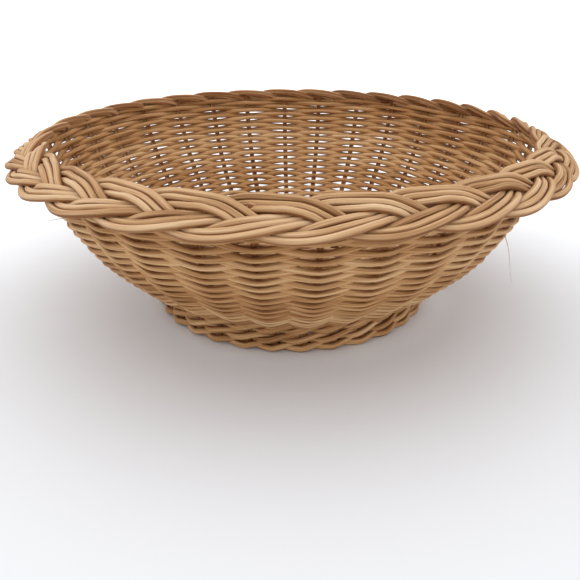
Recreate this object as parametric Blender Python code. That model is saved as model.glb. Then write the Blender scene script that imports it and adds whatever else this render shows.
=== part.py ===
"""A round bowl basket of natural round reed, with a plaited border and a low foot ring.

Thirty-one stakes stand in a ring. Each one starts in the foot, rises through the wall, turns over at the
rim and is laid into the border, a flat plait of three strands with three rods side by side in each.
The wall is woven over one stake and under the next by rods that run round in one long spiral. The stake
count is odd, so each row passes in front of the stakes that the row below it passed behind.
The foot is three rope-like rows of twined rods, and the base is a woven disc of crossed sticks.

Lengths are in metres, with Z up and the foot standing on Z = 0.
"""

import math

import bmesh
import bpy
from mathutils import Vector

# Counts
STAKE_COUNT = 31
WALL_WEAVER_COUNT = 8
FOOT_ROW_COUNT = 3
BASE_STICK_COUNT = 8
BASE_ROW_COUNT = 10
STRAND_COUNT = 3

# The border plait: the ring it follows, its tilt, and how far its strands swing and lift
BORDER_RADIUS = 0.1384
BORDER_HEIGHT = 0.0933
BORDER_TILT = math.radians(30)
PLAIT_SWING = 0.0074
PLAIT_LIFT = 0.00275
PLAIT_ROD_PITCH = 0.0032
PLAIT_START_TURN = math.radians(22.5)
PLAIT_STEP_TURN = math.radians(45)
PLAIT_STEP_COUNT = 22
PLAIT_CREST_FLATNESS = 1.5
PLAIT_ROD_LAG = math.radians(12)
BEND_LENGTH = 0.0075
BEND_POINT_COUNT = 2

# Rod sizes, each from the middle of the rod to its edges
STAKE_EDGE = 0.00155
WEAVER_EDGE = 0.00136
FOOT_ROD_EDGE = 0.00136
BASE_STICK_EDGE = 0.0019
BASE_WEAVER_EDGE = 0.0020
ROD_SIDES = 3
STICK_SIDES = 4

# The foot ring, along the middle of the stakes
FOOT_RADIUS = 0.0745
FOOT_CUT_DEPTH = 0.0005
STAKE_END_LIFT = 0.0010

# The wall along the middle of the stakes, from just over the foot to just under the border
WALL_FOOT_STEP = 0.0050
WALL_FOOT_RISE = 0.0048
WALL_BORDER_STEP = 0.0062
WALL_BORDER_DROP = 0.0023
WALL_BOW = 0.0088
WALL_ROW_PITCH = 0.00252
WALL_KNOT_COUNT = 4

# The base disc, whose sticks rest on the foot and reach between the stakes
CROSS_RADIUS = 0.0105
STICK_LEVEL_RADIUS = 0.0165
STICK_OVERHANG = 0.0045
BASE_WEAVE_START_RADIUS = 0.0205
BASE_WEAVE_INSET = 0.0047

# Clearance between rods that touch on the real basket
REED_GAP = 0.0003

FULL_TURN = 2 * math.pi
STAKE_TURN = FULL_TURN / STAKE_COUNT

REED_COLOUR = (0.55, 0.36, 0.19)
STAKE_COLOUR = (0.48, 0.30, 0.15)
BASE_COLOUR = (0.42, 0.27, 0.14)
REED_ROUGHNESS = 0.62


def clear_scene():
    """Remove the objects that Blender starts with."""
    for item in list(bpy.data.objects):
        bpy.data.objects.remove(item, do_unlink=True)


def reed_material(name, colour):
    """A plain reed colour, one material for each kind of piece."""
    material = bpy.data.materials.new(name)
    material.use_nodes = True
    shader = material.node_tree.nodes["Principled BSDF"]
    shader.inputs["Base Color"].default_value = (*colour, 1)
    shader.inputs["Roughness"].default_value = REED_ROUGHNESS
    return material


def ring_point(turn, radius, height):
    """A point at an angle round the basket's axis."""
    return Vector((radius * math.cos(turn), radius * math.sin(turn), height))


def outward(turn):
    """The level direction that points away from the axis."""
    return ring_point(turn, 1, 0)


# Rods


def ring_middle(loop):
    """The middle of a ring of corners."""
    return sum((corner.co for corner in loop), Vector()) / len(loop)


def add_side(shape, near, far, side):
    """Two faces of a rod's side, split by the diagonal that turns less, so that a twisted rod stays full."""
    after = (side + 1) % len(near)
    run = ring_middle(far) - ring_middle(near)
    rising = far[after].co - near[side].co - run
    falling = far[side].co - near[after].co - run
    if rising.length < falling.length:
        shape.faces.new((near[side], near[after], far[after]))
        shape.faces.new((near[side], far[after], far[side]))
    else:
        shape.faces.new((near[side], near[after], far[side]))
        shape.faces.new((near[after], far[after], far[side]))


def rod_mesh(name, rings):
    """A closed rod through rings of points, each drawn clockwise as seen from the rod's first end."""
    shape = bmesh.new()
    loops = [[shape.verts.new(point) for point in ring] for ring in rings]
    side_count = len(loops[0])
    for near, far in zip(loops, loops[1:]):
        for side in range(side_count):
            add_side(shape, near, far, side)
    shape.faces.new(loops[0][::-1])
    shape.faces.new(loops[-1])
    for face in shape.faces:
        face.smooth = True
    mesh = bpy.data.meshes.new(name)
    shape.to_mesh(mesh)
    shape.free()
    return mesh


def place(name, mesh, material, turn=0):
    """Put a mesh in the scene under its own name, turned round the axis."""
    if not mesh.materials:
        mesh.materials.append(material)
    piece = bpy.data.objects.new(name, mesh)
    piece.rotation_euler.z = turn
    bpy.context.scene.collection.objects.link(piece)
    return piece


def section(centre, across, along, edge, side_count, roll=0):
    """One ring of a rod, drawn in the plane of two directions."""
    ring = []
    for side in range(side_count):
        angle = roll + FULL_TURN * side / side_count
        ring.append(centre + edge * (math.cos(angle) * across + math.sin(angle) * along))
    return ring


def flat_reach(edge):
    """Distance from a three-sided rod's middle to its flat side."""
    return edge * math.cos(FULL_TURN / (2 * ROD_SIDES))


def corner_reach(edge):
    """Distance from a three-sided rod's middle to its corners, measured along its flat side."""
    return edge * math.sin(FULL_TURN / ROD_SIDES)


def swept_rings(points, edge, side_count, first_across):
    """Rings square to a path, with each one turned as little as it can be from the last."""
    rings = []
    across = first_across.normalized()
    last = len(points) - 1
    for number, point in enumerate(points):
        ahead = points[min(number + 1, last)] - points[max(number - 1, 0)]
        ahead.normalize()
        across = (across - across.dot(ahead) * ahead).normalized()
        rings.append(section(point, across, ahead.cross(across), edge, side_count))
    return rings


# The bowl's outline


def wall_bottom():
    """Radius and height of the wall's lower end."""
    return Vector((FOOT_RADIUS + WALL_FOOT_STEP, foot_height() + WALL_FOOT_RISE))


def wall_top():
    """Radius and height of the wall's upper end."""
    return Vector((BORDER_RADIUS - WALL_BORDER_STEP, BORDER_HEIGHT - WALL_BORDER_DROP))


def wall_row_count():
    """How many rows fill the wall."""
    return round((wall_top() - wall_bottom()).length / WALL_ROW_PITCH)


def wall_curve(share):
    """Radius and height on the wall's smooth outline, from 0 at its bottom to 1 at its top."""
    chord = wall_top() - wall_bottom()
    away = Vector((chord.y, -chord.x)).normalized()
    return wall_bottom() + share * chord + 4 * WALL_BOW * share * (1 - share) * away


def wall_knots():
    """The points of the outline where a stake bends."""
    return [wall_curve(knot / (WALL_KNOT_COUNT - 1)) for knot in range(WALL_KNOT_COUNT)]


def wall_point(share):
    """Radius and height on the stake's straight runs between knots."""
    knots = wall_knots()
    place_on_knots = share * (WALL_KNOT_COUNT - 1)
    lower = min(int(place_on_knots), WALL_KNOT_COUNT - 2)
    return knots[lower].lerp(knots[lower + 1], place_on_knots - lower)


def wall_normal(share):
    """The outward normal of the outline, as a radius part and a height part."""
    step = 1 / wall_row_count()
    run = wall_curve(share + step) - wall_curve(share - step)
    return Vector((run.y, -run.x)).normalized()


# Stakes and the border plait


def crest(turn):
    """A wave between -1 and 1 with flattened crests."""
    return math.tanh(PLAIT_CREST_FLATNESS * math.sin(turn)) / math.tanh(PLAIT_CREST_FLATNESS)


def border_point(along, inward, lift):
    """A point of the border: along its ring, toward its inner edge, and up from its tilted face."""
    radius = BORDER_RADIUS - inward * math.cos(BORDER_TILT) + lift * math.sin(BORDER_TILT)
    height = BORDER_HEIGHT + inward * math.sin(BORDER_TILT) + lift * math.cos(BORDER_TILT)
    return ring_point(along / BORDER_RADIUS, radius, height)


def plait_point(step):
    """Where one rod lies at a step of its way through the plait.

    A strand swings from edge to edge once in every three stakes. A rod joins its strand at the inner
    side, slides across it as newer rods join, and ends on the outer side under the strand that crosses.
    """
    stake_spacing = BORDER_RADIUS * STAKE_TURN
    strand_turn = FULL_TURN / STRAND_COUNT
    passed = step * PLAIT_STEP_TURN / strand_turn
    passed_in_all = PLAIT_STEP_COUNT * PLAIT_STEP_TURN / strand_turn
    turn = PLAIT_START_TURN + step * PLAIT_STEP_TURN
    rod_number = (passed_in_all / 2 - passed) / STRAND_COUNT
    slope = math.atan(PLAIT_SWING * math.cos(turn) * strand_turn / stake_spacing)
    along = passed * stake_spacing - rod_number * PLAIT_ROD_PITCH * math.sin(slope)
    inward = PLAIT_SWING * math.sin(turn) + rod_number * PLAIT_ROD_PITCH * math.cos(slope)
    lag = PLAIT_ROD_LAG * rod_number * math.cos(turn)
    lift = -PLAIT_LIFT * crest(2 * (turn + lag))
    return border_point(along + BEND_LENGTH, inward, lift)


def bend_points(wall_top, plait_start):
    """The turn of a stake from the wall into the plait."""
    level_radius = math.hypot(plait_start.x, plait_start.y)
    corner = ring_point(0, level_radius, plait_start.z)
    points = []
    for number in range(BEND_POINT_COUNT):
        share = (number + 1) / (BEND_POINT_COUNT + 1)
        points.append(wall_top.lerp(corner, share).lerp(corner.lerp(plait_start, share), share))
    return points


def stake_mesh():
    """One stake from the foot, up the wall and along the border."""
    foot_top = foot_height()
    points = [ring_point(0, FOOT_RADIUS, STAKE_END_LIFT), ring_point(0, FOOT_RADIUS, foot_top)]
    points += [ring_point(0, knot.x, knot.y) for knot in wall_knots()]
    plait = [plait_point(step) for step in range(PLAIT_STEP_COUNT + 1)]
    points += bend_points(points[-1], plait[0])
    points += plait
    return rod_mesh("stake", swept_rings(points, STAKE_EDGE, ROD_SIDES, outward(0)))


def build_stakes(material):
    """The ring of stakes, which share one mesh."""
    mesh = stake_mesh()
    for number in range(STAKE_COUNT):
        place(f"stake_{number + 1:02d}", mesh, material, number * STAKE_TURN)


# The wall


def wall_share(pass_number):
    """Height share of the wall's spiral as it passes a stake."""
    row_count = wall_row_count()
    climbed = pass_number / (row_count * STAKE_COUNT)
    return 1 / (2 * row_count) + (1 - 1 / row_count) * climbed


def weaver_ring(pass_number, held_back=0):
    """A weaver's section beside a stake, outside on even passes and inside on odd ones."""
    turn = pass_number * STAKE_TURN
    share = wall_share(pass_number)
    middle = wall_point(share)
    normal = wall_normal(share)
    across = normal.x * outward(turn) + Vector((0, 0, normal.y))
    down = normal.y * outward(turn) - Vector((0, 0, normal.x))
    inside = pass_number % 2
    offset = STAKE_EDGE + REED_GAP + flat_reach(WEAVER_EDGE)
    if inside:
        offset = -corner_reach(STAKE_EDGE) - REED_GAP - flat_reach(WEAVER_EDGE)
    centre = ring_point(turn, middle.x, middle.y) + offset * across
    centre -= held_back * outward(turn + FULL_TURN / 4)
    roll = -inside * FULL_TURN / (2 * ROD_SIDES)
    return section(centre, across, down, WEAVER_EDGE, ROD_SIDES, roll)


def build_wall(material):
    """The wall's rods, which follow each other up one spiral and change over inside the bowl."""
    pass_count = wall_row_count() * STAKE_COUNT
    start = 0
    for number in range(WALL_WEAVER_COUNT):
        end = round(pass_count * (number + 1) / WALL_WEAVER_COUNT)
        end -= (end + 1) % 2
        rings = [weaver_ring(passed) for passed in range(start, end)]
        rings.append(weaver_ring(end, held_back=WEAVER_EDGE / 2))
        name = f"wall_weaver_{number + 1}"
        place(name, rod_mesh(name, rings), material)
        start = end


# The foot


def foot_row_pitch():
    """Height of one twined row, where its two rods lie one over the other."""
    return 4 * corner_reach(FOOT_ROD_EDGE) + 2 * REED_GAP


def foot_height():
    """Top of the upper row above the surface that the basket stands on."""
    return FOOT_ROW_COUNT * foot_row_pitch() - FOOT_CUT_DEPTH


def twined_ring(row, half_steps, first_side):
    """A section of a rod that winds round its partner, half a turn from each stake to the next."""
    turn = half_steps * STAKE_TURN / 2
    wind = (half_steps + first_side * 2) * FULL_TURN / 4
    swing = STAKE_EDGE + REED_GAP + flat_reach(FOOT_ROD_EDGE)
    if math.cos(wind) < 0:
        swing = corner_reach(STAKE_EDGE) + REED_GAP + FOOT_ROD_EDGE
    lift = corner_reach(FOOT_ROD_EDGE) + REED_GAP / 2
    row_middle = (row + 1 / 2) * foot_row_pitch() - FOOT_CUT_DEPTH
    across = outward(turn)
    down = Vector((0, 0, -1))
    centre = ring_point(turn, FOOT_RADIUS + swing * math.cos(wind), row_middle + lift * math.sin(wind))
    return section(centre, across, down, FOOT_ROD_EDGE, ROD_SIDES)


def cut_level(mesh):
    """Cut a mesh flat where it stands, and close the cuts."""
    shape = bmesh.new()
    shape.from_mesh(mesh)
    everything = shape.verts[:] + shape.edges[:] + shape.faces[:]
    bmesh.ops.bisect_plane(
        shape, geom=everything, plane_co=(0, 0, 0), plane_no=(0, 0, 1), clear_inner=True
    )
    filled = bmesh.ops.holes_fill(shape, edges=shape.edges)
    for face in filled["faces"]:
        face.normal_update()
        if face.normal.z > 0:
            face.normal_flip()
    shape.to_mesh(mesh)
    shape.free()


def build_foot(material):
    """Rows of twined rods, two rods to a row, cut flat where the basket stands."""
    half_step_count = 2 * STAKE_COUNT
    end_share = FOOT_ROD_EDGE / (FOOT_RADIUS * STAKE_TURN / 2)
    for row in range(FOOT_ROW_COUNT):
        for side in range(2):
            rings = [twined_ring(row, half_step, side) for half_step in range(half_step_count)]
            rings.append(twined_ring(row, half_step_count - end_share, side))
            name = f"foot_rod_{2 * row + side + 1}"
            mesh = rod_mesh(name, rings)
            cut_level(mesh)
            place(name, mesh, material)


# The base


def base_height():
    """Middle height of the base sticks, which lie on the foot's upper row."""
    return foot_height() + REED_GAP + BASE_STICK_EDGE


def stick_end_turn(end_number):
    """Angle of a stick's end, in every second gap between the stakes."""
    return (2 * end_number + 1 / 2) * STAKE_TURN


def stick_run(end_number):
    """The two ends of a stick's straight run: beside the cross, and in its gap of the stakes."""
    group_size = BASE_STICK_COUNT // 2
    group = end_number // group_size
    place_in_group = end_number % group_size - (group_size - 1) / 2
    spacing = 2 * BASE_STICK_EDGE + REED_GAP
    group_turn = stick_group_turn(group)
    ahead = outward(group_turn)
    across = outward(group_turn + FULL_TURN / 4)
    level = Vector((0, 0, base_height()))
    inner = CROSS_RADIUS * ahead + place_in_group * spacing * across + level
    outer = ring_point(stick_end_turn(end_number), FOOT_RADIUS + STICK_OVERHANG, base_height())
    return inner, outer


def run_share(radius):
    """How far along a stick's straight run a radius is, from 0 beside the cross to 1 at its end."""
    return (radius - CROSS_RADIUS) / (FOOT_RADIUS + STICK_OVERHANG - CROSS_RADIUS)


def stick_group_turn(group):
    """Direction of a group of four stick ends, midway between its outer ends."""
    group_size = BASE_STICK_COUNT // 2
    first = stick_end_turn(group * group_size)
    last = stick_end_turn(group * group_size + group_size - 1)
    return (first + last) / 2


def build_sticks(material):
    """Four sticks laid across four, which fan out to the gaps between the stakes."""
    group_size = BASE_STICK_COUNT // 2
    layer_lift = BASE_STICK_EDGE + REED_GAP / 2
    for number in range(BASE_STICK_COUNT):
        layer = number // group_size
        place_in_group = number % group_size
        near_end = layer * group_size + place_in_group
        far_end = (layer + 2) * group_size + group_size - 1 - place_in_group
        near_inner, near_outer = stick_run(near_end)
        far_inner, far_outer = stick_run(far_end)
        lift = Vector((0, 0, layer_lift if layer else -layer_lift))
        level_share = run_share(STICK_LEVEL_RADIUS)
        points = [near_outer, near_inner.lerp(near_outer, level_share)]
        points += [near_inner + lift, far_inner + lift]
        points += [far_inner.lerp(far_outer, level_share), far_outer]
        name = f"base_stick_{number + 1}"
        rings = swept_rings(points, BASE_STICK_EDGE, STICK_SIDES, Vector((0, 0, 1)))
        place(name, rod_mesh(name, rings), material)


def build_base_weavers(material):
    """Two rods that chase each other round the base, one over where the other is under."""
    end_count = 2 * BASE_STICK_COUNT
    rise = BASE_STICK_EDGE + REED_GAP + flat_reach(BASE_WEAVER_EDGE)
    pass_count = BASE_ROW_COUNT * end_count // 2
    radius_gain = (FOOT_RADIUS - BASE_WEAVE_INSET - BASE_WEAVE_START_RADIUS) / pass_count
    up = Vector((0, 0, 1))
    for weaver in range(2):
        rings = []
        for passed in range(pass_count):
            end_number = (passed + weaver * end_count // 2) % end_count
            radius = BASE_WEAVE_START_RADIUS + passed * radius_gain
            inner, outer = stick_run(end_number)
            on_stick = inner.lerp(outer, run_share(radius))
            under = (passed + weaver) % 2
            side = -1 if under else 1
            away = Vector((on_stick.x, on_stick.y, 0)).normalized()
            roll = under * FULL_TURN / (2 * ROD_SIDES)
            centre = on_stick + side * rise * up
            rings.append(section(centre, up, away, BASE_WEAVER_EDGE, ROD_SIDES, roll))
        name = f"base_weaver_{weaver + 1}"
        place(name, rod_mesh(name, rings), material)


def build():
    """Build the whole basket."""
    clear_scene()
    reed = reed_material("reed", REED_COLOUR)
    stake_reed = reed_material("stake_reed", STAKE_COLOUR)
    base_reed = reed_material("base_reed", BASE_COLOUR)
    build_stakes(stake_reed)
    build_wall(reed)
    build_foot(reed)
    build_sticks(base_reed)
    build_base_weavers(base_reed)


build()
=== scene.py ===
"""The looks of a round bowl basket of natural round reed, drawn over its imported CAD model.

Each rod of the basket is drawn again where its CAD solid lies, as a round reed with its own thickness,
tone and grain, and with the small wanderings of hand work. The paths follow the CAD model's: one long
spiral for the wall, a plait of the stakes' ends for the border, twined rods for the foot, and crossed
sticks with two chasing rods for the base. Some sizes differ from the CAD model's by a few millimetres,
as the photograph shows them. Lengths are in metres.
"""

import math
import random

import bpy
import numpy
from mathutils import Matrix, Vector, noise


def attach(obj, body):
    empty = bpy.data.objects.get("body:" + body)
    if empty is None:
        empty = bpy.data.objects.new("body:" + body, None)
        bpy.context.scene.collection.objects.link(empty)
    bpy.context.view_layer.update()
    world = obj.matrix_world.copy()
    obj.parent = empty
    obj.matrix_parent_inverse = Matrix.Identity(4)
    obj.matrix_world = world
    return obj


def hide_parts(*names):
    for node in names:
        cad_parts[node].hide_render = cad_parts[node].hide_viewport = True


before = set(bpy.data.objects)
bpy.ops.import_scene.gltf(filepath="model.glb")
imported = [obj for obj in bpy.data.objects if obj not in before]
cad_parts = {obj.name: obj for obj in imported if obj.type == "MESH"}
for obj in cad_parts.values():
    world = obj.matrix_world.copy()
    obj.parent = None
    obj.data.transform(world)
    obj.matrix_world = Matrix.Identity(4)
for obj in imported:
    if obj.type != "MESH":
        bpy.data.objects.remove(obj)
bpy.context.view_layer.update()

# Counts
STAKE_COUNT = 31
WALL_WEAVER_COUNT = 8
FOOT_ROW_COUNT = 3
BASE_STICK_COUNT = 8
BASE_ROW_COUNT = 11
STRAND_COUNT = 3

# The border plait: the ring it follows, its tilt, and how far its strands swing and lift
BORDER_RADIUS = 0.1384
BORDER_HEIGHT = 0.0918
BORDER_TILT = math.radians(30)
PLAIT_SWING = 0.0074
PLAIT_LIFT = 0.0030
PLAIT_ROD_PITCH = 0.0032
PLAIT_START_TURN = math.radians(20)
PLAIT_SPAN = 9.23
PLAIT_CREST_FLATNESS = 2.0
PLAIT_SKEW = math.radians(24)
PLAIT_ROD_LAG = math.radians(9.4)
BEND_LENGTH = 0.0075

# The plait is pulled tight in small steps: how many, and what share of each pull a step takes
TIGHTEN_STEPS = 150
STRAIGHTEN_SHARE = 0.12
HOLD_SHARE = 0.02
FLATTEN_SHARE = 0.004

# Rod sizes, each from the middle of the rod to its surface
STAKE_EDGE = 0.00158
WEAVER_EDGE = 0.00150
FOOT_ROD_EDGE = 0.00178
BASE_STICK_EDGE = 0.0019
BASE_WEAVER_EDGE = 0.0024

# How rods give way: a weaver bends closely round a stake and is pinched there, and rods press together
WEAVER_PINCH_SHARE = 0.10
WEAVE_SHARPNESS = 0.93
PRESSED_SHARE = 0.80
FOOT_PRESSED_SHARE = 0.58

# The foot ring, the wall from the foot's upper row up into the border, and the base disc
FOOT_RADIUS = 0.0755
FOOT_ROW_PITCH = 0.0053
FOOT_CUT_DEPTH = 0.0005
FOOT_JOINT_STRIDE = 4
INNER_PASS_DROP = 0.0009
STAKE_END_LIFT = 0.0010
WALL_FOOT_STEP = 0.0027
WALL_FOOT_RISE = 0.0017
WALL_BORDER_STEP = 0.0053
WALL_BORDER_DROP = -0.0027
WALL_BOW = 0.0104
WALL_ROW_PITCH = 0.00252
CROSS_RADIUS = 0.0105
STICK_LEVEL_RADIUS = 0.0165
STICK_OVERHANG = -0.0005
BASE_WEAVE_START_RADIUS = 0.0185
BASE_WEAVE_INSET = 0.0042
REED_GAP = 0.0003

# How finely the rods are drawn
STAKE_SIDES = 10
WEAVER_SIDES = 8
WALL_SAMPLES = 8
PLAIT_SAMPLES = 16
FOOT_SAMPLES = 5
BASE_SAMPLES = 5
CURVE_SAMPLES = 4
FIBRE_SAMPLES = 12
WALL_KNOTS = 8

# Hand work: how far things wander from their places
STAKE_WANDER_SHARE = 0.06
FRONT_SHIFT_SHARE = 0.28
BORDER_SLACK = (0.11, 0.03)
ROW_WAVE = 0.0019
ROW_WAVE_RATE = 2
ROW_JITTER = 0.00050
PLAIT_JITTER = 0.00035
EDGE_WANDER_SHARE = 0.10
EDGE_WANDER_RATE = 35

# Seeds of the random numbers, and the first seed of each kind of rod
RANDOM_SEED = 7
SEED_STRIDE = 17.3
WAVE_SEED = 1
ROW_OUT_SEED = 2
ROW_UP_SEED = 3
PLAIT_INWARD_SEED = 5
PLAIT_LIFT_SEED = 50
WEAVER_SEED = 1
STAKE_SEED = WEAVER_SEED + WALL_WEAVER_COUNT
FOOT_SEED = STAKE_SEED + STAKE_COUNT
STICK_SEED = FOOT_SEED + 2 * FOOT_ROW_COUNT
BASE_WEAVER_SEED = STICK_SEED + BASE_STICK_COUNT
FIBRE_SEED = 200

FULL_TURN = 2 * math.pi
STAKE_TURN = FULL_TURN / STAKE_COUNT

dice = random.Random(RANDOM_SEED)
stake_wanders = [dice.uniform(-1, 1) for stake in range(STAKE_COUNT)]


def ring_point(turn, radius, height):
    """A point at an angle round the basket's axis."""
    return Vector((radius * math.cos(turn), radius * math.sin(turn), height))


def outward(turn):
    """The level direction that points away from the axis."""
    return ring_point(turn, 1, 0)


def drift(seed, *place):
    """A smooth random number between about -1 and 1, which changes slowly with a place."""
    spot = Vector((*place, 0, 0)[:3])
    return noise.noise(spot + SEED_STRIDE * seed * Vector((1, 1, 1)))


# Materials


def new_node(tree, kind, **settings):
    """A shader node with its properties set."""
    node = tree.nodes.new(kind)
    for name, value in settings.items():
        setattr(node, name, value)
    return node


def stretched_noise(tree, place, stretch, detail):
    """Noise over a rod, drawn out by a different amount along it and across it."""
    scaled = new_node(tree, "ShaderNodeVectorMath", operation="MULTIPLY")
    scaled.inputs[1].default_value = stretch
    texture = new_node(tree, "ShaderNodeTexNoise")
    texture.inputs["Scale"].default_value = 1
    texture.inputs["Detail"].default_value = detail
    tree.links.new(place, scaled.inputs[0])
    tree.links.new(scaled.outputs[0], texture.inputs["Vector"])
    return texture.outputs["Fac"]


def weighted(tree, value, weight, rest=None):
    """A value times a weight, added to the rest of a sum.

    A sum starts with the shift that makes it come out as 1/2 when every value in it is 1/2.
    """
    sum_node = new_node(tree, "ShaderNodeMath", operation="MULTIPLY_ADD")
    tree.links.new(value, sum_node.inputs[0])
    sum_node.inputs[1].default_value = weight
    sum_node.inputs[2].default_value = MIDDLE_TONE_SHIFT
    if rest is not None:
        tree.links.new(rest, sum_node.inputs[2])
    return sum_node.outputs[0]


# The reed's grain: how far each of its noises is drawn out, its detail, and its weight in the tone
FIBRE_STRETCH = (45, 1500, 1500)
PATCH_STRETCH = (28, 260, 260)
CLOUD_STRETCH = (14, 14, 14)
FIBRE_DETAIL = 3
PATCH_DETAIL = 2
CLOUD_DETAIL = 1
FIBRE_WEIGHT = 1.05
PATCH_WEIGHT = 0.60
CLOUD_WEIGHT = 0.30
TONE_WEIGHT = 0.30
MIDDLE_TONE_SHIFT = (1 - FIBRE_WEIGHT - PATCH_WEIGHT - CLOUD_WEIGHT - TONE_WEIGHT) / 2

# The reed's surface
BUMP_STRENGTH = 0.6
BUMP_DISTANCE = 0.0008
ROUGHNESS_RANGE = (0.50, 0.76)
SPECULAR_LEVEL = 0.22

# Painted shade along the seams between rods, which is stronger where a stake is hidden among the wall's
# weavers
SEAM_SHARPNESS = 4
SEAM_SHADE_COLOUR = (0.42, 0.27, 0.16)
HIDDEN_SHADE_GAIN = 1.6


def seam_shade_share(tree):
    """How much painted shade a rod gets where it faces the rods packed beside it: 1 along the seam
    between them, 0 on the open sides.
    """
    packing = new_node(tree, "ShaderNodeAttribute", attribute_name="rod_packing").outputs["Vector"]
    facing = new_node(tree, "ShaderNodeNewGeometry").outputs["Normal"]
    along = new_node(tree, "ShaderNodeVectorMath", operation="DOT_PRODUCT")
    size = new_node(tree, "ShaderNodeMath", operation="ABSOLUTE")
    narrowed = new_node(tree, "ShaderNodeMath", operation="POWER")
    narrowed.inputs[1].default_value = SEAM_SHARPNESS
    tree.links.new(packing, along.inputs[0])
    tree.links.new(facing, along.inputs[1])
    tree.links.new(along.outputs["Value"], size.inputs[0])
    tree.links.new(size.outputs[0], narrowed.inputs[0])
    return narrowed.outputs[0]


def reed_tone(tree, fibre, patch):
    """How pale the reed is: fibres, blotches, clouds over the whole basket, and each rod's own tone."""
    tone = new_node(tree, "ShaderNodeAttribute", attribute_name="rod_tone").outputs["Fac"]
    room = new_node(tree, "ShaderNodeTexCoord").outputs["Object"]
    cloud = stretched_noise(tree, room, CLOUD_STRETCH, CLOUD_DETAIL)
    mixed = weighted(tree, tone, TONE_WEIGHT)
    mixed = weighted(tree, cloud, CLOUD_WEIGHT, mixed)
    mixed = weighted(tree, patch, PATCH_WEIGHT, mixed)
    return weighted(tree, fibre, FIBRE_WEIGHT, mixed)


def reed_colour(tree, tone, colours):
    """The reed's colour for its tone, with painted shade darkening it along the seams."""
    ramp = new_node(tree, "ShaderNodeValToRGB")
    stops = ramp.color_ramp.elements
    while len(stops) < len(colours):
        stops.new(1)
    for stop, (position, colour) in zip(stops, colours):
        stop.position = position
        stop.color = (*colour, 1)
    tree.links.new(tone, ramp.inputs["Fac"])
    # Painted shade: the colour is multiplied toward a dark brown where the rod faces the rods beside it
    shade_mix = new_node(tree, "ShaderNodeMix", data_type="RGBA", blend_type="MULTIPLY")
    unshaded, shaded = [socket for socket in shade_mix.inputs if socket.type == "RGBA"]
    result, = [socket for socket in shade_mix.outputs if socket.type == "RGBA"]
    shaded.default_value = (*SEAM_SHADE_COLOUR, 1)
    tree.links.new(seam_shade_share(tree), shade_mix.inputs["Factor"])
    tree.links.new(ramp.outputs["Color"], unshaded)
    return result


def reed_material(name, colours):
    """Natural reed: long fine fibres, blotches along the rod, and a tone of its own for every rod."""
    material = bpy.data.materials.new(name)
    material.use_nodes = True
    tree = material.node_tree
    shader = tree.nodes["Principled BSDF"]
    place = new_node(tree, "ShaderNodeAttribute", attribute_name="rod_place").outputs["Vector"]
    fibre = stretched_noise(tree, place, FIBRE_STRETCH, FIBRE_DETAIL)
    patch = stretched_noise(tree, place, PATCH_STRETCH, PATCH_DETAIL)
    colour = reed_colour(tree, reed_tone(tree, fibre, patch), colours)
    tree.links.new(colour, shader.inputs["Base Color"])
    shader.inputs["Specular IOR Level"].default_value = SPECULAR_LEVEL
    rough = new_node(tree, "ShaderNodeMapRange")
    rough.inputs["To Min"].default_value = ROUGHNESS_RANGE[0]
    rough.inputs["To Max"].default_value = ROUGHNESS_RANGE[1]
    tree.links.new(patch, rough.inputs["Value"])
    tree.links.new(rough.outputs["Result"], shader.inputs["Roughness"])
    bump = new_node(tree, "ShaderNodeBump")
    bump.inputs["Strength"].default_value = BUMP_STRENGTH
    bump.inputs["Distance"].default_value = BUMP_DISTANCE
    tree.links.new(fibre, bump.inputs["Height"])
    tree.links.new(bump.outputs["Normal"], shader.inputs["Normal"])
    return material


# Each kind of rod's colours, from its darkest tone to its palest
WEAVER_COLOURS = (
    (0.18, (0.270, 0.118, 0.040)),
    (0.38, (0.440, 0.222, 0.083)),
    (0.58, (0.580, 0.335, 0.150)),
    (0.80, (0.710, 0.475, 0.255)),
)
STAKE_COLOURS = (
    (0.18, (0.285, 0.140, 0.056)),
    (0.38, (0.488, 0.274, 0.125)),
    (0.58, (0.625, 0.390, 0.205)),
    (0.80, (0.740, 0.520, 0.315)),
)
BASE_COLOURS = (
    (0.18, (0.26, 0.135, 0.055)),
    (0.38, (0.45, 0.260, 0.120)),
    (0.58, (0.57, 0.360, 0.190)),
    (0.80, (0.66, 0.460, 0.270)),
)


# Rods


def smooth_path(points):
    """A curve through points, with more points between them."""
    path = []
    last = len(points) - 1
    for number in range(last):
        before = points[max(number - 1, 0)]
        here = points[number]
        after = points[number + 1]
        beyond = points[min(number + 2, last)]
        leave = (after - before) / 2
        arrive = (beyond - here) / 2
        for sample in range(CURVE_SAMPLES):
            share = sample / CURVE_SAMPLES
            square = share * share
            cube = square * share
            path.append(
                (2 * cube - 3 * square + 1) * here
                + (cube - 2 * square + share) * leave
                + (3 * square - 2 * cube) * after
                + (cube - square) * arrive
            )
    path.append(points[last])
    return path


# The share of its thickness that a rod keeps at its cut ends
CUT_SHARE = 0.82

# A rod that starts more steeply than this has rings that start on its outward side, not on top
STEEP_SHARE = 0.82


def thickness(edge, along, seed):
    """A reed's own unevenness: its radius at a distance along it."""
    return edge * (1 + EDGE_WANDER_SHARE * drift(seed, EDGE_WANDER_RATE * along))


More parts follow.
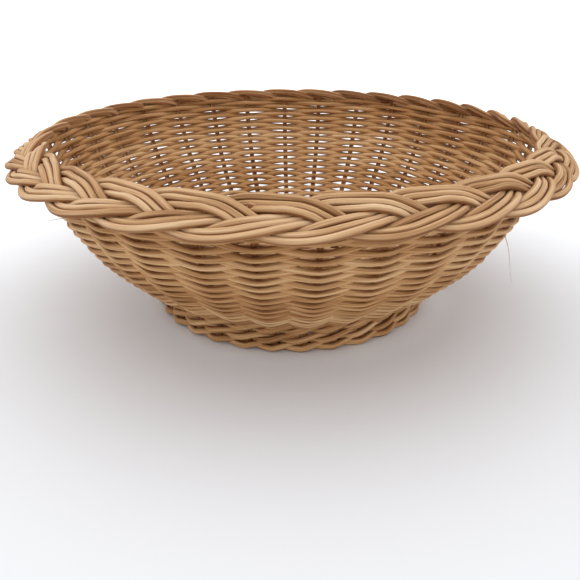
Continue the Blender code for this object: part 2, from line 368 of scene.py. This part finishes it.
def rod_rings(path, edge, side_count, seed, packing, swell):
    """The points round a rod, with each one's place along and across it and its packing direction."""
    points = []
    places = []
    packings = []
    across = Vector((0, 0, 1))
    if abs((path[1] - path[0]).normalized().z) > STEEP_SHARE:
        across = outward(math.atan2(path[0].y, path[0].x))
    along = 0
    last = len(path) - 1
    shift = SEED_STRIDE * seed
    for number, centre in enumerate(path):
        before = path[max(number - 1, 0)]
        ahead = (path[min(number + 1, last)] - before).normalized()
        across = (across - across.dot(ahead) * ahead).normalized()
        beside = ahead.cross(across)
        along += (centre - before).length
        radius = thickness(edge, along, seed) * (swell[number] if swell else 1)
        if number in (0, last):
            radius *= CUT_SHARE
        for side in range(side_count):
            angle = FULL_TURN * side / side_count
            points.append(centre + radius * (math.cos(angle) * across + math.sin(angle) * beside))
            places += (along + shift, edge * math.cos(angle), edge * math.sin(angle))
            packings.extend(packing[number])
    return points, places, packings


def rod_faces(last, side_count):
    """The faces between a rod's rings, and one over each cut end."""
    faces = []
    for number in range(last):
        for side in range(side_count):
            here = number * side_count + side
            after = number * side_count + (side + 1) % side_count
            faces.append((here, after, after + side_count, here + side_count))
    faces.append(tuple(reversed(range(side_count))))
    faces.append(tuple(range(last * side_count, (last + 1) * side_count)))
    return faces


def rod_piece(name, path, edge, side_count, material, seed, packing, swell=None):
    """A round reed along a path, with its neighbours in the packing direction given for each point.

    Its grain and the painted shade along its seams follow values kept at each point of the mesh.
    """
    points, places, packings = rod_rings(path, edge, side_count, seed, packing, swell)
    mesh = bpy.data.meshes.new(name)
    mesh.from_pydata(points, [], rod_faces(len(path) - 1, side_count))
    mesh.attributes.new("rod_place", "FLOAT_VECTOR", "POINT").data.foreach_set("vector", places)
    mesh.attributes.new("rod_packing", "FLOAT_VECTOR", "POINT").data.foreach_set("vector", packings)
    tone = random.Random(seed).random()
    mesh.attributes.new("rod_tone", "FLOAT", "POINT").data.foreach_set("value", [tone] * len(points))
    mesh.shade_smooth()
    mesh.materials.append(material)
    piece = bpy.data.objects.new(name, mesh)
    bpy.context.scene.collection.objects.link(piece)
    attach(piece, "root")
    return piece


# The wall


def stake_turn(number):
    """Angle of a stake, which counts on past a full turn. Those in front stand back a little."""
    even = number * STAKE_TURN
    shift = FRONT_SHIFT_SHARE * (1 - math.sin(even)) / 2
    return even + (STAKE_WANDER_SHARE * stake_wanders[number % STAKE_COUNT] - shift) * STAKE_TURN


def turn_at(passed):
    """Angle of a place that lies between two stakes."""
    lower = math.floor(passed)
    near = stake_turn(lower)
    far = stake_turn(lower + 1)
    return near + (far - near) * (passed - lower)


def foot_height():
    """Top of the foot's upper row above the surface that the basket stands on."""
    return FOOT_ROW_COUNT * FOOT_ROW_PITCH - FOOT_CUT_DEPTH


def wall_bottom():
    """Radius and height of the wall's lower end."""
    return Vector((FOOT_RADIUS + WALL_FOOT_STEP, foot_height() + WALL_FOOT_RISE))


def wall_top():
    """Radius and height of the wall's upper end."""
    return Vector((BORDER_RADIUS - WALL_BORDER_STEP, BORDER_HEIGHT - WALL_BORDER_DROP))


def wall_row_count():
    """How many rows fill the wall."""
    return round((wall_top() - wall_bottom()).length / WALL_ROW_PITCH)


def wall_curve(share):
    """Radius and height on the wall's outline, from 0 at its bottom to 1 at its top."""
    chord = wall_top() - wall_bottom()
    away = Vector((chord.y, -chord.x)).normalized()
    return wall_bottom() + share * chord + 4 * WALL_BOW * share * (1 - share) * away


def wall_directions(share, turn):
    """The directions out from the wall and up along it."""
    step = 1 / wall_row_count()
    run = (wall_curve(share + step) - wall_curve(share - step)).normalized()
    out = run.y * outward(turn) - run.x * Vector((0, 0, 1))
    up = run.x * outward(turn) + run.y * Vector((0, 0, 1))
    return out, up


def wall_share(passed):
    """Height share of the wall's spiral as it passes a stake."""
    row_count = wall_row_count()
    climbed = passed / (row_count * STAKE_COUNT)
    return 1 / (2 * row_count) + (1 - 1 / row_count) * climbed


def row_wave(share, turn):
    """The slow rise and fall that neighbouring rows share."""
    place = ROW_WAVE_RATE * Vector((math.cos(turn), math.sin(turn), share))
    return ROW_WAVE * drift(WAVE_SEED, *place)


def weave_offset(passed):
    """How far a weaver lies out from the stakes, outside on even passes and inside on odd ones.

    It bends closely round each stake and runs nearly straight from one to the next.
    """
    wave = math.asin(WEAVE_SHARPNESS * math.cos(math.pi * passed)) / math.asin(WEAVE_SHARPNESS)
    return PRESSED_SHARE * (STAKE_EDGE + WEAVER_EDGE) * wave


def weaver_point(passed):
    """A point on the wall's spiral of weavers."""
    turn = turn_at(passed)
    share = wall_share(passed)
    middle = wall_curve(share)
    out, up = wall_directions(share, turn)
    point = ring_point(turn, middle.x, middle.y)
    point += (weave_offset(passed) + ROW_JITTER * drift(ROW_OUT_SEED, passed)) * out
    point += (row_wave(share, turn) + ROW_JITTER * drift(ROW_UP_SEED, passed)) * up
    return point


def weaver_packing(passed):
    """The direction along the wall in which a weaver's neighbours lie, which sets its painted seam shade,
    fading out inside the bowl.
    """
    outside_share = (1 + math.cos(math.pi * passed)) / 2
    return outside_share * wall_directions(wall_share(passed), turn_at(passed))[1]


def weaver_swell(passed):
    """A weaver's thickness share: pinched where it bends round a stake, and fuller between stakes."""
    return 1 - WEAVER_PINCH_SHARE * math.cos(FULL_TURN * passed)


def build_wall(material):
    """The wall's weavers, which follow each other up one spiral and change over inside the bowl."""
    pass_count = wall_row_count() * STAKE_COUNT
    start = 0
    for number in range(WALL_WEAVER_COUNT):
        end = round(pass_count * (number + 1) / WALL_WEAVER_COUNT)
        end -= (end + 1) % 2
        samples = range(start * WALL_SAMPLES, end * WALL_SAMPLES + 1)
        path = [weaver_point(sample / WALL_SAMPLES) for sample in samples]
        packing = [weaver_packing(sample / WALL_SAMPLES) for sample in samples]
        swell = [weaver_swell(sample / WALL_SAMPLES) for sample in samples]
        name = f"wall_weaver_{number + 1}"
        seed = WEAVER_SEED + number
        piece = rod_piece(
            f"{name}_reed", path, WEAVER_EDGE, WEAVER_SIDES, material, seed, packing, swell
        )
        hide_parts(name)
        start = end


# Stakes and the border plait


def crest(turn):
    """A wave between -1 and 1 with flattened crests."""
    return math.tanh(PLAIT_CREST_FLATNESS * math.sin(turn)) / math.tanh(PLAIT_CREST_FLATNESS)


def border_turn(place):
    """Angle of a place on the border, counted in stakes. The plait's front is worked more slackly."""
    even = place * STAKE_TURN
    from_front = even + FULL_TURN / 4
    once, twice = BORDER_SLACK
    return even + once * math.sin(from_front) + twice * math.sin(2 * from_front)


def border_point(place, inward, lift):
    """A point of the border: round its ring, toward its inner edge, and up from its tilted face."""
    radius = BORDER_RADIUS - inward * math.cos(BORDER_TILT) + lift * math.sin(BORDER_TILT)
    height = BORDER_HEIGHT + inward * math.sin(BORDER_TILT) + lift * math.cos(BORDER_TILT)
    return ring_point(border_turn(place), radius, height)


def strand_swing(turn):
    """A strand's place across the border. It reaches the inner edge early and stays there longer."""
    lean = PLAIT_SKEW * math.cos(2 * turn) * (1 + math.sin(turn)) / 2
    return PLAIT_SWING * math.sin(turn - lean)


def loose_plait(stake_spacing):
    """One rod's way through a loose plait: along the border, inward, and up from its face.

    It starts at one side of its strand and comes to lie at the other as the next stakes join in.
    """
    strand_turn = FULL_TURN / STRAND_COUNT
    strand_step = strand_turn / PLAIT_SAMPLES
    points = []
    for sample in range(round(PLAIT_SPAN * PLAIT_SAMPLES) + 1):
        passed = sample / PLAIT_SAMPLES
        turn = PLAIT_START_TURN + passed * strand_turn
        rod_number = (PLAIT_SPAN / 2 - passed) / STRAND_COUNT
        rise = (strand_swing(turn + strand_step) - strand_swing(turn - strand_step)) / 2
        slope = math.atan(rise * PLAIT_SAMPLES / stake_spacing)
        along = passed * stake_spacing - rod_number * PLAIT_ROD_PITCH * math.sin(slope)
        inward = strand_swing(turn) + rod_number * PLAIT_ROD_PITCH * math.cos(slope)
        lag = PLAIT_ROD_LAG * rod_number * math.cos(turn)
        points.append((along, inward, -PLAIT_LIFT * crest(2 * (turn + lag))))
    return numpy.array(points)


def neighbour_push(rod, stake_spacing):
    """How far each point of a rod is pushed by the rods beside it, which all run as it does."""
    push = numpy.zeros_like(rod)
    touches = numpy.zeros(len(rod))
    for places in range(1, math.ceil(PLAIT_SPAN) + 1):
        for shift in (-places * stake_spacing, places * stake_spacing):
            apart = rod[:, None] - rod[None] - numpy.array((shift, 0, 0))
            distance = numpy.linalg.norm(apart, axis=2)
            overlap = numpy.clip(2 * STAKE_EDGE - distance, 0, None)
            push += (apart * (overlap / distance)[:, :, None]).sum(axis=1) / 2
            touches += (overlap > 0).sum(axis=1)
    return push / numpy.maximum(touches, 1)[:, None]


def tight_plait():
    """The same way after the plait is pulled tight, so that its rods lie flat against each other."""
    stake_spacing = BORDER_RADIUS * STAKE_TURN
    loose = loose_plait(stake_spacing)
    rod = loose.copy()
    for step in range(TIGHTEN_STEPS):
        rod += neighbour_push(rod, stake_spacing)
        rod[1:-1] += STRAIGHTEN_SHARE * ((rod[:-2] + rod[2:]) / 2 - rod[1:-1])
        rod[:, 1] += HOLD_SHARE * (loose[:, 1] - rod[:, 1])
        rod[:, 2] *= 1 - FLATTEN_SHARE
    rod[:, 0] = (rod[:, 0] + BEND_LENGTH) / stake_spacing
    return rod.tolist()


def stake_path(stake, plait):
    """One stake from the foot, up the wall and along the border.

    Its curve first leads on to a later point of the plait, so that the two meet smoothly where it is cut.
    """
    turn = stake_turn(stake)
    foot_top = foot_height()
    knots = [ring_point(turn, FOOT_RADIUS, height) for height in (STAKE_END_LIFT, foot_top / 2, foot_top)]
    knots += [ring_point(turn, *wall_curve(knot / WALL_KNOTS)) for knot in range(WALL_KNOTS + 1)]
    end = []
    for number, (place, inward, lift) in enumerate(plait):
        passed = number / PLAIT_SAMPLES
        inward += PLAIT_JITTER * drift(stake + PLAIT_INWARD_SEED, passed)
        lift += PLAIT_JITTER * drift(stake + PLAIT_LIFT_SEED, passed)
        end.append(border_point(stake + place, inward, lift))
    corner = ring_point(turn, end[0].xy.length, end[0].z)
    for share in (1 / 3, 2 / 3):
        knots.append(knots[-1].lerp(corner, share).lerp(corner.lerp(end[0], share), share))
    return smooth_path([*knots, end[0], end[PLAIT_SAMPLES // 2]])[:-CURVE_SAMPLES - 1] + end


def stake_packing(path, plait_length):
    """Where a stake's neighbours lie: in front and behind it in the wall, and beside it in the plait."""
    turn = math.atan2(path[0].y, path[0].x)
    # Painted shade: the stake's part in the wall gets a stronger seam shade, so that it shows dark
    # between the weavers
    packing = [HIDDEN_SHADE_GAIN * outward(turn)] * (len(path) - plait_length)
    for number in range(len(packing), len(path)):
        before = path[number - 1]
        after = path[min(number + 1, len(path) - 1)]
        radial = outward(math.atan2(path[number].y, path[number].x))
        face = math.sin(BORDER_TILT) * radial + math.cos(BORDER_TILT) * Vector((0, 0, 1))
        packing.append((after - before).cross(face).normalized())
    return packing


def build_stakes(material):
    """The ring of stakes, whose ends make the border."""
    plait = tight_plait()
    for stake in range(STAKE_COUNT):
        name = f"stake_{stake + 1:02d}"
        seed = STAKE_SEED + stake
        path = stake_path(stake, plait)
        packing = stake_packing(path, len(plait))
        piece = rod_piece(
            f"{name}_reed", path, STAKE_EDGE, STAKE_SIDES, material, seed, packing
        )
        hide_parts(name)


# Each loose fibre: its place in stakes, its height share on the wall, its length and its droop
LOOSE_FIBRES = (
    (27.9, 0.66, 0.026, 1.12),
    (28.6, 0.90, 0.007, 0.15),
    (18.3, 0.74, 0.010, 0.10),
    (21.4, 0.93, 0.006, 0.60),
    (2.3, 0.80, 0.008, 0.40),
    (6.7, 0.55, 0.011, 0.90),
    (10.4, 0.95, 0.005, 0.20),
    (13.8, 0.70, 0.009, 0.70),
)
FIBRE_EDGE = 0.00018
FIBRE_BEND = 0.5


def fibre_path(number, place, share, length, droop):
    """A loose fibre's way out from the wall's face, wandering a little as it droops."""
    turn = place * STAKE_TURN
    out = wall_directions(share, turn)[0]
    away = outward(turn)
    path = [ring_point(turn, *wall_curve(share)) + (STAKE_EDGE + WEAVER_EDGE) * out]
    for sample in range(FIBRE_SAMPLES):
        lean = droop + FIBRE_BEND * drift(number, sample / FIBRE_SAMPLES)
        heading = math.cos(lean) * away - math.sin(lean) * Vector((0, 0, 1))
        path.append(path[-1] + length / FIBRE_SAMPLES * heading)
    return path


def build_fibres(material):
    """Loose fibres split from the wall's face, which taper to nothing."""
    for number, fibre in enumerate(LOOSE_FIBRES):
        path = fibre_path(number, *fibre)
        name = f"loose_fibre_{number + 1}"
        seed = FIBRE_SEED + number
        packing = [Vector()] * len(path)
        taper = [1 - sample / len(path) for sample in range(len(path))]
        rod_piece(name, path, FIBRE_EDGE, WEAVER_SIDES, material, seed, packing, taper)


# The foot


def twined_point(row, half_steps, first_side):
    """A point on a rod that winds round its partner, half a turn from each stake to the next.

    It passes a little lower inside the stakes, and never under the floor.
    """
    turn = turn_at(half_steps / 2)
    wind = (half_steps + first_side * 2) * FULL_TURN / 4
    swing = FOOT_PRESSED_SHARE * (STAKE_EDGE + FOOT_ROD_EDGE)
    row_middle = (row + 1 / 2) * FOOT_ROW_PITCH - FOOT_CUT_DEPTH
    radius = FOOT_RADIUS + swing * math.cos(wind)
    height = row_middle + FOOT_ROD_EDGE * math.sin(wind) - INNER_PASS_DROP * (1 - math.cos(wind)) / 2
    return ring_point(turn, radius, max(height, (1 + EDGE_WANDER_SHARE / 2) * FOOT_ROD_EDGE))


def build_foot(material):
    """Rows of twined rods, two rods to a row."""
    sample_count = 2 * STAKE_COUNT * FOOT_SAMPLES
    for row in range(FOOT_ROW_COUNT):
        start = 2 * FOOT_JOINT_STRIDE * row
        for side in range(2):
            steps = [start + sample / FOOT_SAMPLES for sample in range(sample_count)]
            path = [twined_point(row, half_steps, side) for half_steps in steps]
            packing = [Vector((0, 0, 1))] * sample_count
            number = 2 * row + side
            name = f"foot_rod_{number + 1}"
            seed = FOOT_SEED + number
            piece = rod_piece(
                f"{name}_reed", path, FOOT_ROD_EDGE, WEAVER_SIDES, material, seed, packing
            )
            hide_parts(name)


# The base


def base_height():
    """Middle height of the base sticks, which lie on the foot's upper row."""
    return foot_height() + REED_GAP + BASE_STICK_EDGE


def stick_end_turn(end_number):
    """Angle of a stick's end, in every second gap between the stakes."""
    return (2 * end_number + 1 / 2) * STAKE_TURN


def stick_run(end_number):
    """The two ends of a stick's straight run: beside the cross, and in its gap of the stakes."""
    group_size = BASE_STICK_COUNT // 2
    group = end_number // group_size
    place_in_group = end_number % group_size - (group_size - 1) / 2
    spacing = 2 * BASE_STICK_EDGE + REED_GAP
    first = stick_end_turn(group * group_size)
    last = stick_end_turn(group * group_size + group_size - 1)
    group_turn = (first + last) / 2
    across = outward(group_turn + FULL_TURN / 4)
    level = Vector((0, 0, base_height()))
    inner = CROSS_RADIUS * outward(group_turn) + place_in_group * spacing * across + level
    outer = ring_point(stick_end_turn(end_number), FOOT_RADIUS + STICK_OVERHANG, base_height())
    return inner, outer


def run_share(radius):
    """How far along a stick's straight run a radius is, from 0 beside the cross to 1 at its end."""
    return (radius - CROSS_RADIUS) / (FOOT_RADIUS + STICK_OVERHANG - CROSS_RADIUS)


def build_sticks(material):
    """Four sticks laid across four, which fan out to the gaps between the stakes."""
    group_size = BASE_STICK_COUNT // 2
    layer_lift = BASE_STICK_EDGE + REED_GAP / 2
    level_share = run_share(STICK_LEVEL_RADIUS)
    for number in range(BASE_STICK_COUNT):
        layer = number // group_size
        place_in_group = number % group_size
        opposite_place = group_size - 1 - place_in_group
        near_inner, near_outer = stick_run(layer * group_size + place_in_group)
        far_inner, far_outer = stick_run((layer + 2) * group_size + opposite_place)
        lift = Vector((0, 0, layer_lift if layer else -layer_lift))
        knots = [near_outer, near_inner.lerp(near_outer, level_share)]
        knots += [near_inner + lift, far_inner + lift]
        knots += [far_inner.lerp(far_outer, level_share), far_outer]
        name = f"base_stick_{number + 1}"
        seed = STICK_SEED + number
        path = smooth_path(knots)
        packing = [Vector()] * len(path)
        piece = rod_piece(
            f"{name}_reed", path, BASE_STICK_EDGE, STAKE_SIDES, material, seed, packing
        )
        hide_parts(name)


def base_pass_count():
    """How many stick ends each base weaver passes, as the two of them share the rows."""
    return BASE_ROW_COUNT * BASE_STICK_COUNT


def base_weaver_point(weaver, passed):
    """A point on one of the base's two chasing rods."""
    radius = BASE_WEAVE_START_RADIUS
    radius += passed * (FOOT_RADIUS - BASE_WEAVE_INSET - BASE_WEAVE_START_RADIUS) / base_pass_count()
    lower = math.floor(passed)
    stops = []
    for step in (lower, lower + 1):
        end_number = (step + weaver * BASE_STICK_COUNT) % (2 * BASE_STICK_COUNT)
        inner, outer = stick_run(end_number)
        stops.append(inner.lerp(outer, run_share(radius)))
    point = stops[0].lerp(stops[1], passed - lower)
    length = stops[0].xy.length + (stops[1].xy.length - stops[0].xy.length) * (passed - lower)
    point.xy = point.xy.normalized() * length
    wave = math.cos(math.pi * (passed + weaver))
    point.z += (BASE_STICK_EDGE + BASE_WEAVER_EDGE) * wave
    return point


def build_base_weavers(material):
    """Two rods that chase each other round the base, one over where the other is under."""
    for weaver in range(2):
        samples = range((base_pass_count() - 1) * BASE_SAMPLES + 1)
        path = [base_weaver_point(weaver, sample / BASE_SAMPLES) for sample in samples]
        packing = [Vector((*point.xy.normalized(), 0)) for point in path]
        name = f"base_weaver_{weaver + 1}"
        seed = BASE_WEAVER_SEED + weaver
        piece = rod_piece(
            f"{name}_reed", path, BASE_WEAVER_EDGE, WEAVER_SIDES, material, seed, packing
        )
        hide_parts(name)


# The photograph's view


IMAGE_WIDTH = 580
CAMERA_PLACE = (0, -0.3675, 0.1710)
CAMERA_PITCH = math.radians(25.15)
CAMERA_FOCAL_PIXELS = 661
CAMERA_AXIS_PIXEL = 291.6
SENSOR_WIDTH = 36


def build_camera():
    """The camera where the photograph was taken from."""
    data = bpy.data.cameras.new("camera")
    data.sensor_width = SENSOR_WIDTH
    data.lens = SENSOR_WIDTH * CAMERA_FOCAL_PIXELS / IMAGE_WIDTH
    data.shift_x = (IMAGE_WIDTH / 2 - CAMERA_AXIS_PIXEL) / IMAGE_WIDTH
    camera = bpy.data.objects.new("camera", data)
    camera.location = CAMERA_PLACE
    camera.rotation_euler = (math.pi / 2 - CAMERA_PITCH, 0, 0)
    bpy.context.scene.collection.objects.link(camera)
    bpy.context.scene.camera = camera


def shown_share(tree):
    """1 for rays that show a surface, straight or by a reflection or glass, and 0 for the others."""
    path = new_node(tree, "ShaderNodeLightPath")
    share = path.outputs["Is Camera Ray"]
    for kind in ("Is Glossy Ray", "Is Transmission Ray"):
        either = new_node(tree, "ShaderNodeMath", operation="MAXIMUM")
        tree.links.new(share, either.inputs[0])
        tree.links.new(path.outputs[kind], either.inputs[1])
        share = either.outputs[0]
    return share


# The lamp and the sky
LIGHT_HEIGHT = 1.4
LIGHT_SETBACK = 0.05
LIGHT_SIDESTEP = -0.15
LIGHT_SIZE = 2.4
LIGHT_POWER = 8.4
LIGHT_COLOUR = (1, 0.985, 0.96)
SKY_COLOUR = (0.97, 0.98, 1.0)
SKY_STRENGTH = 0.86
SIDE_STRENGTH = 0.34


def build_lamp():
    """A broad soft lamp overhead."""
    data = bpy.data.lights.new("overhead", "AREA")
    data.shape = "DISK"
    data.size = LIGHT_SIZE
    data.energy = LIGHT_POWER
    data.color = LIGHT_COLOUR
    lamp = bpy.data.objects.new("overhead", data)
    lamp.location = (LIGHT_SIDESTEP, LIGHT_SETBACK, LIGHT_HEIGHT)
    lamp.rotation_euler = lamp.location.to_track_quat("Z", "Y").to_euler()
    bpy.context.scene.collection.objects.link(lamp)


def sky_strength(tree):
    """The sky's brightness in a direction, greatest at the sides."""
    direction = new_node(tree, "ShaderNodeTexCoord")
    split = new_node(tree, "ShaderNodeSeparateXYZ")
    sideways = new_node(tree, "ShaderNodeMath", operation="ABSOLUTE")
    strength = new_node(tree, "ShaderNodeMath", operation="MULTIPLY_ADD")
    strength.inputs[1].default_value = SIDE_STRENGTH
    strength.inputs[2].default_value = SKY_STRENGTH
    tree.links.new(direction.outputs["Generated"], split.inputs[0])
    tree.links.new(split.outputs["X"], sideways.inputs[0])
    tree.links.new(sideways.outputs[0], strength.inputs[0])
    return strength.outputs[0]


def build_sky():
    """A pale sky, brighter at the sides, which the camera sees as white."""
    world = bpy.data.worlds.new("sky")
    world.use_nodes = True
    tree = world.node_tree
    sky = tree.nodes["Background"]
    sky.inputs["Color"].default_value = (*SKY_COLOUR, 1)
    tree.links.new(sky_strength(tree), sky.inputs["Strength"])
    white = new_node(tree, "ShaderNodeBackground")
    white.inputs["Color"].default_value = (1, 1, 1, 1)
    chooser = new_node(tree, "ShaderNodeMixShader")
    tree.links.new(shown_share(tree), chooser.inputs["Fac"])
    tree.links.new(sky.outputs["Background"], chooser.inputs[1])
    tree.links.new(white.outputs["Background"], chooser.inputs[2])
    tree.links.new(chooser.outputs["Shader"], tree.nodes["World Output"].inputs["Surface"])
    bpy.context.scene.world = world


# The floor, and how far from the basket its glow starts and ends
FLOOR_HALF_SIZE = 6
FLOOR_COLOUR = (0.80, 0.81, 0.83)
FLOOR_ROUGHNESS = 0.6
GLOW_START = 0.10
GLOW_END = 0.80
GLOW_STRENGTH = 0.6


def floor_glow(tree):
    """The floor's own brightness where it is shown: none at the basket, rising behind and beside it."""
    room = new_node(tree, "ShaderNodeTexCoord")
    split = new_node(tree, "ShaderNodeSeparateXYZ")
    sideways = new_node(tree, "ShaderNodeMath", operation="ABSOLUTE")
    distance = new_node(tree, "ShaderNodeMath", operation="ADD")
    ramp = new_node(tree, "ShaderNodeMapRange", interpolation_type="SMOOTHSTEP")
    ramp.inputs["From Min"].default_value = GLOW_START
    ramp.inputs["From Max"].default_value = GLOW_END
    ramp.inputs["To Max"].default_value = GLOW_STRENGTH
    shown = new_node(tree, "ShaderNodeMath", operation="MULTIPLY")
    tree.links.new(room.outputs["Object"], split.inputs[0])
    tree.links.new(split.outputs["X"], sideways.inputs[0])
    tree.links.new(sideways.outputs[0], distance.inputs[0])
    tree.links.new(split.outputs["Y"], distance.inputs[1])
    tree.links.new(distance.outputs[0], ramp.inputs["Value"])
    tree.links.new(ramp.outputs["Result"], shown.inputs[0])
    tree.links.new(shown_share(tree), shown.inputs[1])
    return shown.outputs[0]


def floor_material():
    """A pale surface, which brightens to white behind the basket as the photograph's does."""
    material = bpy.data.materials.new("floor")
    material.use_nodes = True
    tree = material.node_tree
    shader = tree.nodes["Principled BSDF"]
    shader.inputs["Base Color"].default_value = (*FLOOR_COLOUR, 1)
    shader.inputs["Roughness"].default_value = FLOOR_ROUGHNESS
    shader.inputs["Emission Color"].default_value = (1, 1, 1, 1)
    tree.links.new(floor_glow(tree), shader.inputs["Emission Strength"])
    return material


def build_floor():
    """The plain floor that the basket stands on."""
    side = FLOOR_HALF_SIZE
    corners = [(-side, -side, 0), (side, -side, 0), (side, side, 0), (-side, side, 0)]
    mesh = bpy.data.meshes.new("floor")
    mesh.from_pydata(corners, [], [(0, 1, 2, 3)])
    mesh.materials.append(floor_material())
    floor = bpy.data.objects.new("floor", mesh)
    bpy.context.scene.collection.objects.link(floor)


def build():
    """Draw the whole basket and its surroundings."""
    reed = reed_material("reed_weave", WEAVER_COLOURS)
    stake_reed = reed_material("reed_border", STAKE_COLOURS)
    base_reed = reed_material("reed_base", BASE_COLOURS)
    build_wall(reed)
    build_stakes(stake_reed)
    build_fibres(stake_reed)
    build_foot(reed)
    build_sticks(base_reed)
    build_base_weavers(base_reed)
    build_camera()
    build_lamp()
    build_sky()
    build_floor()
    bpy.context.scene.view_settings.view_transform = "Standard"


build()
